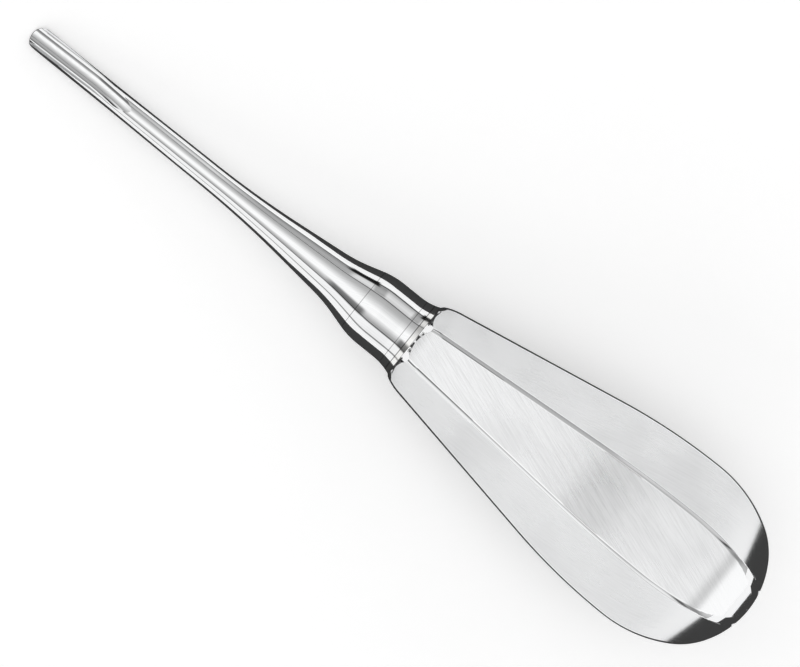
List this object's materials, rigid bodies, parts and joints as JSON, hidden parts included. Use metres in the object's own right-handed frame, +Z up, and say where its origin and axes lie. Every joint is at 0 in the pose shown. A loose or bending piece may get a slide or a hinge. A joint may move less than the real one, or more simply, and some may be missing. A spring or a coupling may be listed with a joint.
{
  "type": "dental elevator",
  "caption": "Straight dental elevator: hollow-ground gouge blade, slim flared shank and collar, hollow pear-shaped faceted steel handle.",
  "frame": {"origin": "on the table, under the middle of the tool's bounding box, the tool lying on the heel of its blade and the belly of its handle", "axes": "+X along the tool from the blade to the butt of the handle, +Y to the left seen from the butt, +Z up, the blade's hollow facing up"},
  "size_m": [0.1392, 0.0284, 0.029],
  "materials": {
    "polished_steel": "mirror-polished stainless steel",
    "satin_steel": "satin stainless steel with fine lengthwise grain on the flats",
    "weld_steel": "weld bead ground flush and brushed with the flats",
    "braze": "thin polished silver braze joint",
    "machined_steel": "turned and milled steel, hidden inside the handle"
  },
  "bodies": {
    "root": {"shank": "polished_steel", "braze_ring": "braze", "neck_plug": "machined_steel", "tang_pin": "machined_steel", "handle_shell_top": "satin_steel", "handle_shell_bottom": "satin_steel", "seam_weld": "weld_steel"}
  },
  "joints": []
}
